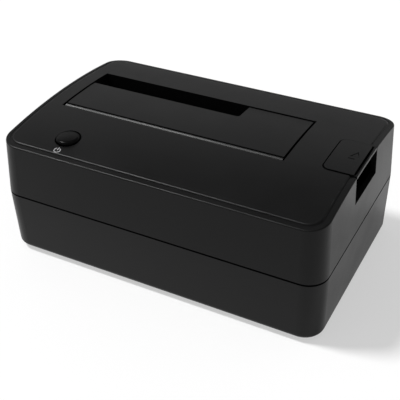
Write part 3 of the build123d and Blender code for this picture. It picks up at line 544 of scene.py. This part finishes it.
def rows_tree():
    """Node tree that repeats a small piece along a row, and the row round a centre."""
    name = "rows_round_a_centre"
    if name in bpy.data.node_groups:
        return bpy.data.node_groups[name]
    tree = bpy.data.node_groups.new(name, "GeometryNodeTree")
    inputs = (
        ("Piece", "NodeSocketGeometry"), ("Count", "NodeSocketInt"), ("Pitch", "NodeSocketFloat"),
        ("Sides", "NodeSocketInt"), ("Turn", "NodeSocketFloat"), ("Centre", "NodeSocketVector"),
        ("Material", "NodeSocketMaterial"),
    )
    for socket, kind in inputs:
        tree.interface.new_socket(socket, in_out="INPUT", socket_type=kind)
    tree.interface.new_socket("Geometry", in_out="OUTPUT", socket_type="NodeSocketGeometry")
    rows = Wiring(tree)
    given = rows.node("NodeGroupInput").outputs
    length = rows.joined(rows.joined(given["Count"], 1, "SUBTRACT"), given["Pitch"], "MULTIPLY")
    start = rows.node("ShaderNodeCombineXYZ", {"X": rows.joined(length, -0.5, "MULTIPLY")})
    step = rows.node("ShaderNodeCombineXYZ", {"X": given["Pitch"]})
    feeds = {"Count": given["Count"], "Start Location": start, "Offset": step}
    row = rows.node("GeometryNodeMeshLine", feeds)
    in_row = rows.node("GeometryNodeInstanceOnPoints", {"Points": row, "Instance": given["Piece"]})
    hub = rows.node("GeometryNodeMeshLine", {"Count": given["Sides"], "Offset": (0, 0, 0)})
    angle = rows.joined(rows.node("GeometryNodeInputIndex"), given["Turn"], "MULTIPLY")
    turn = rows.node("ShaderNodeCombineXYZ", {"Z": angle})
    feeds = {"Points": hub, "Instance": in_row, "Rotation": turn}
    round_hub = rows.node("GeometryNodeInstanceOnPoints", feeds)
    placed = rows.node("GeometryNodeTransform", {"Geometry": round_hub, "Translation": given["Centre"]})
    plain = rows.node("GeometryNodeRealizeInstances", {"Geometry": placed})
    finished = rows.node("GeometryNodeSetMaterial", {"Geometry": plain, "Material": given["Material"]})
    rows.node("NodeGroupOutput", {"Geometry": finished})
    return tree


def repeated_piece(name, shape, body, slot, material, **values):
    """A small piece repeated in rows, made plain, which rides on a body."""
    piece = new_piece(name, shape, None, material)
    tree = rows_tree()
    modifier = piece.modifiers.new("rows", "NODES")
    modifier.node_group = tree
    values["Material"] = material
    for socket in tree.interface.items_tree:
        if socket.in_out == "INPUT" and socket.name in values:
            modifier[socket.identifier] = values[socket.name]
    make_plain(piece)
    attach(piece, body)
    return piece


# The stage

class DOCK_OT_stage(bpy.types.Operator):
    """Set the camera, the pale floor and the soft light"""
    bl_idname = "dock.stage"
    bl_label = "Stage"

    def execute(self, context):
        settings = context.scene.dock_stage
        self.place_camera(context.scene, settings)
        self.lay_floor(settings)
        self.light_sky(context.scene, settings)
        self.hang_key(context.scene, settings)
        context.scene.view_settings.view_transform = "Standard"
        return {"FINISHED"}

    def place_camera(self, scene, settings):
        """The camera, from where it aims, its distance and its angles."""
        level = math.cos(settings.elevation)
        back = Vector((
            math.sin(settings.azimuth) * level,
            -math.cos(settings.azimuth) * level,
            math.sin(settings.elevation),
        ))
        across = Vector((0, 0, 1)).cross(back).normalized()
        up = back.cross(across)
        turned_across = math.cos(settings.roll) * across + math.sin(settings.roll) * up
        turned_up = math.cos(settings.roll) * up - math.sin(settings.roll) * across
        lens = bpy.data.cameras.new("camera")
        lens.lens = settings.lens
        camera = bpy.data.objects.new("camera", lens)
        turn = Matrix((turned_across, turned_up, back)).transposed().to_4x4()
        camera.matrix_world = Matrix.Translation(Vector(settings.aim) + settings.distance * back) @ turn
        scene.collection.objects.link(camera)
        scene.camera = camera

    def lay_floor(self, settings):
        """A plain floor, with some white that only the camera and reflections see."""
        reach, drop, roughness, gloss = 4.0, 0.05 * mm, 0.7, 0.1
        shape = bmesh.new()
        bmesh.ops.create_grid(shape, x_segments=1, y_segments=1, size=reach)
        bmesh.ops.translate(shape, verts=shape.verts, vec=(0, 0, -drop))
        finish = Finish("floor_paint", settings.floor_colour, roughness, gloss=gloss)
        path = finish.node("ShaderNodeLightPath")
        seen = finish.joined(path.outputs["Is Camera Ray"], path.outputs["Is Glossy Ray"], "MAXIMUM")
        seen = finish.joined(seen, path.outputs["Is Transmission Ray"], "MAXIMUM")
        lift = finish.joined(seen, settings.floor_lift, "MULTIPLY")
        finish.feed(finish.shader, {"Emission Color": (1, 1, 1, 1), "Emission Strength": lift})
        floor = new_piece("floor", shape, None, finish.material)

    def light_sky(self, scene, settings):
        """A white horizon, a band of soft light over it, brighter on the left, and weaker light above."""
        over_horizon = math.radians(4)
        right_x, left_x = -0.2, -0.7
        world = bpy.data.worlds.new("sky")
        world.use_nodes = True
        scene.world = world
        sky = Wiring(world.node_tree)
        place = sky.node("ShaderNodeTexCoord").outputs["Generated"]
        split = sky.node("ShaderNodeSeparateXYZ", {"Vector": place})
        ramp = sky.node("ShaderNodeValToRGB", {"Fac": split.outputs["Z"]})
        levels = (
            (over_horizon, settings.dim_strength),
            (settings.band_low - settings.band_fade, settings.dim_strength),
            (settings.band_low, settings.band_strength),
            (settings.band_high, settings.band_strength),
            (settings.band_high + settings.band_fade, settings.dim_strength),
            (math.pi / 2, settings.overhead_strength),
        )
        stops = ramp.color_ramp.elements
        stops.remove(stops[1])
        stops[0].position = 0
        stops[0].color = (1, 1, 1, 1)
        for elevation, level in levels:
            stops.new(math.sin(elevation)).color = (level, level, level, 1)
        lean = sky.between(
            split.outputs["X"], (right_x, left_x), 1, 1 + settings.band_lean,
            interpolation_type="SMOOTHSTEP",
        )
        strength = sky.joined(ramp.outputs["Color"], lean, "MULTIPLY")
        sky.feed(sky.tree.nodes["Background"], {"Color": (1, 1, 1, 1), "Strength": strength})

    def hang_key(self, scene, settings):
        """One soft key light, far away."""
        lamp = bpy.data.lights.new("key", "SUN")
        lamp.energy = settings.key_strength
        lamp.angle = settings.key_spread
        key = bpy.data.objects.new("key", lamp)
        key.rotation_euler = Vector(settings.key_direction).to_track_quat("Z", "Y").to_euler()
        scene.collection.objects.link(key)


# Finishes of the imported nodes

class DOCK_OT_black_mouldings(bpy.types.Operator):
    """Finish the shells, the flap, the well and the two buttons"""
    bl_idname = "dock.black_mouldings"
    bl_label = "Black mouldings"

    def execute(self, context):
        settings = context.scene.dock_mouldings
        shell, cap, gloss = settings.shell_colour, settings.cap_colour, settings.gloss
        well = scaled(shell, 0.5)
        blacks = (      # slot, finish, colour, gloss, share of the grain's size, change of roughness
            ("upper_shell", "upper_shell_black", shell, gloss, 1.0, 0.0),
            ("lower_shell", "lower_shell_black", shell, gloss, 1.0, 0.0),
            ("flap_plastic", "flap_black", shell, gloss, 1.0, 0.0),
            ("tab_plastic", "eject_tab_black", cap, gloss, 1.0, 0.0),
            ("button_plastic", "power_cap_black", cap, settings.button_gloss, 0.6, -0.1),
            ("well_plastic", "well_black", well, gloss, 1.5, 0.15),
        )
        for slot, name, colour, its_gloss, grain_share, shift in blacks:
            dress(slot, moulded_black(name, colour, settings, its_gloss, grain_share, shift))
        return {"FINISHED"}


class DOCK_OT_inner_mouldings(bpy.types.Operator):
    """Finish the switch, the lever and the insulators of the connectors"""
    bl_idname = "dock.inner_mouldings"
    bl_label = "Inner mouldings"

    def execute(self, context):
        plastics = (    # slot, finish, colour, roughness, shade of the filler
            ("switch_plastic", "switch_black", (0.02, 0.02, 0.024), 0.4, 1.3),
            ("plunger_plastic", "plunger_cream", (0.6, 0.58, 0.5), 0.38, 1.05),
            ("lever_plastic", "acetal_natural", (0.58, 0.57, 0.53), 0.33, 1.08),
            ("connector_plastic", "connector_black", (0.008, 0.008, 0.009), 0.45, 4),
            ("socket_plastic", "socket_black", (0.008, 0.008, 0.009), 0.42, 4),
            ("inlet_plastic", "inlet_black", (0.007, 0.007, 0.008), 0.35, 2),
        )
        for slot, name, colour, roughness, speckle in plastics:
            dress(slot, smooth_plastic(name, colour, roughness, speckle))
        return {"FINISHED"}


class DOCK_OT_metals(bpy.types.Operator):
    """Finish the contacts, the socket shell, the pins, the springs and the screws"""
    bl_idname = "dock.metals"
    bl_label = "Metals"

    def execute(self, context):
        plain = (1, 1, 1)
        # slot, finish, colour, roughness, size of the grain, its stretch, shade of the stains
        metals = (
            ("contact_metal", "contact_gold", (0.8, 0.58, 0.24), 0.25, 0.0003, (1, 1, 0.2), 0.8),
            ("socket_metal", "socket_nickel", (0.62, 0.6, 0.57), 0.26, 0.0004, (1, 0.1, 1), 0.8),
            ("pin_steel", "drawn_steel", (0.56, 0.56, 0.57), 0.24, 0.0002, (0.1, 0.1, 1), 0.8),
            ("spring_steel", "spring_steel", (0.5, 0.5, 0.52), 0.3, 0.0002, plain, 0.8),
            ("screw_steel", "zinc_plate", (0.55, 0.56, 0.6), 0.34, 0.0003, plain, 0.65),
            ("crystal_can", "crystal_nickel", (0.66, 0.65, 0.62), 0.3, 0.0005, (0.15, 1, 1), 0.8),
        )
        for slot, *looks in metals:
            dress(slot, worked_metal(*looks))
        dress("capacitor_can", sleeved_can())
        return {"FINISHED"}


class DOCK_OT_board(bpy.types.Operator):
    """Finish the circuit board, its chips and its coil"""
    bl_idname = "dock.board"
    bl_label = "Circuit board"

    def execute(self, context):
        dress("circuit_board", solder_mask(context.scene.dock_board))
        dress("chip_epoxy", chip_epoxy())
        dress("ferrite", sintered_ferrite())
        return {"FINISHED"}


class DOCK_OT_feet(bpy.types.Operator):
    """Finish the rubber feet"""
    bl_idname = "dock.feet"
    bl_label = "Feet"

    def execute(self, context):
        dress("foot_rubber", foot_rubber())
        return {"FINISHED"}


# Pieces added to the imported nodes

class DOCK_OT_power_cap(bpy.types.Operator):
    """Raise the rounded cap of the power button"""
    bl_idname = "dock.power_cap"
    bl_label = "Power cap"

    def execute(self, context):
        low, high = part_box("power_button")
        centre = ((low.x + high.x) / 2, (low.y + high.y) / 2)
        radius = 5.05 * mm
        shoulder_width, shoulder_height, shoulder_top = 1.6 * mm, 1.0 * mm, 0.6 * mm
        base, dome_rise, middle = 1.1 * mm, 0.15 * mm, 0.2 * mm
        steps, segments = 12, 96
        flat = radius - shoulder_width
        profile = [(radius, high.z - base)]
        for index in range(steps + 1):
            angle = math.pi / 2 * index / steps
            rise = shoulder_top - shoulder_height * (1 - math.sin(angle))
            profile.append((flat + shoulder_width * math.cos(angle), high.z + rise))
        for index in range(1, steps + 1):
            ring = flat + (middle - flat) * index / steps
            profile.append((ring, high.z + shoulder_top + dome_rise * (1 - (ring / flat) ** 2)))
        shape = bmesh.new()
        turned(shape, profile, centre, segments)
        material = frame["nodes"]["power_button"].material_slots[0].material
        new_piece("power_cap", shape, "power_key", material)
        return {"FINISHED"}


class DOCK_OT_power_symbol(bpy.types.Operator):
    """Print the power symbol in front of the power button"""
    bl_idname = "dock.power_symbol"
    bl_label = "Power symbol"

    def execute(self, context):
        settings = context.scene.dock_symbols
        height = surface_under("upper_housing")
        low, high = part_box("power_button")
        from_button_x, from_button_y = 0.2 * mm, -8.05 * mm
        centre_x = (low.x + high.x) / 2 + from_button_x
        centre_y = (low.y + high.y) / 2 + from_button_y
        sink, proud = 0.03 * mm, 0.02 * mm
        half = settings.power_stroke / 2
        middle = settings.power_ring / 2 - half
        segments = 40
        start = math.pi / 2 + settings.power_gap / 2
        sweep = 2 * math.pi - settings.power_gap
        ring = []
        for index in range(segments + 1):
            angle = start + sweep * index / segments
            pair = []
            for radius in (middle + half, middle - half):
                pair.append((centre_x + radius * math.cos(angle), centre_y + radius * math.sin(angle)))
            ring.append(pair)
        shape = bmesh.new()
        draped_strip(shape, ring, height, sink, proud)
        bar = []
        steps = 6
        for index in range(steps + 1):
            y = centre_y + (middle + 2 * half) * index / steps
            bar.append(((centre_x - half, y), (centre_x + half, y)))
        draped_strip(shape, bar, height, sink, proud)
        new_piece("power_symbol", shape, "dock", printed_ink(settings))
        return {"FINISHED"}


class DOCK_OT_eject_tab(bpy.types.Operator):
    """Level the eject button's groove and cut the slot along its outer edge"""
    bl_idname = "dock.eject_tab"
    bl_label = "Eject tab"

    def execute(self, context):
        node = frame["nodes"]["eject_button"]
        low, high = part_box("eject_button")
        surface = surface_under("eject_button")
        panel_x = high.x - 3.35 * mm
        fill_from, fill_to = high.x - 3.3 * mm, high.x - 1.55 * mm
        fill_inset, fill_sink, fill_drop = 0.03 * mm, 0.6 * mm, 0.02 * mm
        slot_from, slot_to = high.x - 1.85 * mm, high.x - 0.67 * mm
        bridge, overrun, plate = 0.35 * mm, 1.0 * mm, 1.7 * mm
        undercut = 1.1
        sharp = math.radians(8)
        steps = 24
        material = node.material_slots[0].material

        shape = bmesh.new()
        shape.from_mesh(node.data)
        bmesh.ops.remove_doubles(shape, verts=shape.verts, dist=0.001 * mm)
        piece = new_piece("eject_tab", shape, None, material)

        shape = bmesh.new()
        pairs = []
        for index in range(steps + 1):
            y = low.y + fill_inset + (high.y - low.y - 2 * fill_inset) * index / steps
            pairs.append(((fill_to, y), (fill_from, y)))
        draped_strip(shape, pairs, lambda x, y: surface(panel_x, y), fill_sink, -fill_drop)
        fill = new_piece("eject_tab_fill", shape, None, material)

        shape = bmesh.new()
        mouth_z = surface(slot_from, (low.y + high.y) / 2)
        section = []
        for z in (mouth_z - plate - overrun, mouth_z + overrun):
            lean = undercut * (z - mouth_z)
            section.append((slot_from + lean, z))
            section.append((slot_to + lean, z))
        section[2:] = reversed(section[2:])
        bar_along_y(shape, section, (low.y + bridge, high.y - bridge))
        cutter = new_piece("eject_tab_cutter", shape, None, material)

        carved(piece, (("UNION", fill), ("DIFFERENCE", cutter)))
        piece.data.shade_smooth()
        piece.data.set_sharp_from_angle(angle=sharp)
        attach(piece, "eject_key")
        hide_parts("eject_button")
        return {"FINISHED"}


class DOCK_OT_eject_symbol(bpy.types.Operator):
    """Set the matt eject symbol on the eject button"""
    bl_idname = "dock.eject_symbol"
    bl_label = "Eject symbol"

    def execute(self, context):
        settings = context.scene.dock_symbols
        height = surface_under("eject_button")
        low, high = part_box("eject_button")
        from_side, from_middle = 5.0 * mm, -0.2 * mm
        centre_x = high.x - from_side
        centre_y = (low.y + high.y) / 2 + from_middle
        sink, proud = 0.1 * mm, 0.025 * mm
        half_width, stroke = settings.eject_width / 2, settings.eject_stroke
        slope, bar_gap = 1.9, 2 * stroke
        matt_gloss, rougher = 0.03, 0.25
        rise = slope * half_width
        shape = bmesh.new()
        corners = [(-half_width, 0.0), (0.0, rise), (half_width, 0.0)]
        inset = stroke / math.tan(math.atan2(rise, half_width) / 2)
        inner_rise = rise - stroke / math.sin(math.atan2(half_width, rise))
        inner = [(-half_width + inset, stroke), (0.0, inner_rise), (half_width - inset, stroke)]
        pairs = []
        for (outer_x, outer_y), (inner_x, inner_y) in zip(corners, inner):
            outside = (centre_x + outer_x, centre_y + outer_y)
            pairs.append((outside, (centre_x + inner_x, centre_y + inner_y)))
        draped_strip(shape, pairs, height, sink, proud, ring_shaped=True)
        bar = []
        for x in (centre_x - half_width, centre_x, centre_x + half_width):
            bar.append(((x, centre_y - bar_gap), (x, centre_y - bar_gap - stroke)))
        draped_strip(shape, bar, height, sink, proud)
        mouldings = context.scene.dock_mouldings
        matt = moulded_black(
            "eject_symbol_matt", mouldings.cap_colour, mouldings, matt_gloss, roughness_shift=rougher,
        )
        new_piece("eject_symbol", shape, "eject_key", matt)
        return {"FINISHED"}


class DOCK_OT_socket_contacts(bpy.types.Operator):
    """Add the gold contacts on the two tongues of the data socket"""
    bl_idname = "dock.socket_contacts"
    bl_label = "Socket contacts"

    def execute(self, context):
        low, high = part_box("data_socket_core")
        centre_x = (low.x + high.x) / 2
        tongue_tip, tongue_root = high.y - 2.2 * mm, high.y - 8.5 * mm
        thickness, width, pitch = 0.15 * mm, 0.8 * mm, 2.2 * mm
        fine_width, fine_pitch = 0.45 * mm, 0.95 * mm
        gold = frame["nodes"]["power_inlet_pin"].material_slots[0].material
        mouth_middle = (low.z + high.z) / 2 - 1.5 * mm
        lower_face = mouth_middle + 1.6 * mm
        base_face = mouth_middle - 1.6 * mm
        upper_face = mouth_middle + 4.85 * mm
        rows = (        # name, face, side that the contacts stand on, count, spacing, width
            ("data_socket_lower_contacts", lower_face, 1, 2, pitch, width),
            ("data_socket_base_contacts", base_face, -1, 2, pitch, width),
            ("data_socket_upper_contacts", upper_face, -1, 5, fine_pitch, fine_width),
        )
        for name, face, side, count, spacing, contact_width in rows:
            bottom, top = sorted((face, face + side * thickness))
            outline = [(tongue_root, bottom), (tongue_tip, bottom), (tongue_tip, top), (tongue_root, top)]
            shape = bmesh.new()
            bar_along_x(shape, outline, (-contact_width / 2, contact_width / 2))
            repeated_piece(
                name, shape, "dock", "contact_metal", gold,
                Count=count, Pitch=spacing, Sides=1, Turn=0.0, Centre=(centre_x, 0.0, 0.0),
            )
        return {"FINISHED"}


class DOCK_OT_board_parts(bpy.types.Operator):
    """Add the chip legs and the rows of chip resistors"""
    bl_idname = "dock.board_parts"
    bl_label = "Board parts"

    def execute(self, context):
        settings = context.scene.dock_board
        tin = worked_metal("tinned_copper", (0.68, 0.68, 0.66), 0.3, 0.0003)
        self.add_legs(settings.chip_legs, settings.leg_pitch, tin)
        self.add_resistors(settings, tin)
        return {"FINISHED"}

    def add_legs(self, count, pitch, tin):
        """Gull-wing legs on the four sides of the chip."""
        low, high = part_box("bridge_chip")
        half_depth = (high.y - low.y) / 2
        rise = (high.z - low.z) / 2
        thickness, reach, shoulder, half_width = 0.14 * mm, 1.0 * mm, 0.35 * mm, 0.22 * pitch
        out = -half_depth - reach
        bend = -half_depth - shoulder
        root = -half_depth + thickness
        foot = low.z
        outline = [
            (root, foot + rise), (bend, foot + rise),
            (bend - thickness, foot + thickness), (out, foot + thickness),
            (out, foot), (bend, foot),
            (bend + thickness, foot + rise - thickness), (root, foot + rise - thickness),
        ]
        shape = bmesh.new()
        bar_along_x(shape, outline, (-half_width, half_width))
        centre = ((low.x + high.x) / 2, (low.y + high.y) / 2, 0.0)
        repeated_piece(
            "bridge_chip_legs", shape, "dock", "contact_metal", tin,
            Count=count, Pitch=pitch, Sides=4, Turn=math.pi / 2, Centre=centre,
        )

    def add_resistors(self, settings, tin):
        """Two rows of chip resistors with tinned ends."""
        board_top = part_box("bridge_chip")[0].z
        low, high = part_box("main_circuit_board")
        length, width, thickness, end, end_lip = 1.6 * mm, 0.8 * mm, 0.45 * mm, 0.3 * mm, 0.02 * mm
        body = smooth_plastic("resistor_black", (0.015, 0.015, 0.018), 0.4, speckle=2)
        place_shares = ((0.3, 0.42), (0.3, 0.34))
        for row, (x_share, y_share) in enumerate(place_shares, 1):
            centre = (low.x + x_share * (high.x - low.x), low.y + y_share * (high.y - low.y), 0.0)
            middle_span = (-length / 2 + end, length / 2 - end)
            end_spans = ((-length / 2, middle_span[0]), (middle_span[1], length / 2))
            spans = (
                (f"resistors_row_{row}", "chip_epoxy", body, (middle_span,), 0.0),
                (f"resistor_ends_row_{row}", "contact_metal", tin, end_spans, end_lip),
            )
            for name, slot, material, y_spans, lip in spans:
                shape = bmesh.new()
                for near, far in y_spans:
                    top = board_top + thickness + lip
                    outline = [(near, board_top), (far, board_top), (far, top), (near, top)]
                    bar_along_x(shape, outline, (-width / 2, width / 2))
                repeated_piece(
                    name, shape, "dock", slot, material, Count=settings.resistor_count,
                    Pitch=settings.resistor_pitch, Sides=1, Turn=0.0, Centre=centre,
                )


class DOCK_PT_sidebar(bpy.types.Panel):
    """Panel that lists the settings and the steps"""
    bl_idname = "DOCK_PT_sidebar"
    bl_label = "Drive docking station"
    bl_space_type = "VIEW_3D"
    bl_region_type = "UI"
    bl_category = "Drive dock"

    def draw(self, context):
        for group in settings_groups:
            column = self.layout.column(heading=group.replace("_", " ").capitalize())
            holder = getattr(context.scene, group)
            for name in holder.__annotations__:
                column.prop(holder, name)
        for operator in operators:
            self.layout.operator(operator.bl_idname)


settings_groups = {
    "dock_stage": StageSettings,
    "dock_mouldings": MouldingSettings,
    "dock_symbols": SymbolSettings,
    "dock_board": BoardSettings,
}
operators = (
    DOCK_OT_stage,
    DOCK_OT_black_mouldings,
    DOCK_OT_inner_mouldings,
    DOCK_OT_metals,
    DOCK_OT_board,
    DOCK_OT_feet,
    DOCK_OT_power_cap,
    DOCK_OT_power_symbol,
    DOCK_OT_eject_tab,
    DOCK_OT_eject_symbol,
    DOCK_OT_socket_contacts,
    DOCK_OT_board_parts,
)


def register():
    for group, settings in settings_groups.items():
        bpy.utils.register_class(settings)
        setattr(bpy.types.Scene, group, PointerProperty(type=settings))
    for operator in operators:
        bpy.utils.register_class(operator)
    bpy.utils.register_class(DOCK_PT_sidebar)


def unregister():
    bpy.utils.unregister_class(DOCK_PT_sidebar)
    for operator in reversed(operators):
        bpy.utils.unregister_class(operator)
    for group, settings in settings_groups.items():
        delattr(bpy.types.Scene, group)
        bpy.utils.unregister_class(settings)


def main():
    register()
    for operator in operators:
        family, name = operator.bl_idname.split(".")
        getattr(getattr(bpy.ops, family), name)()


if __name__ == "__main__":
    main()
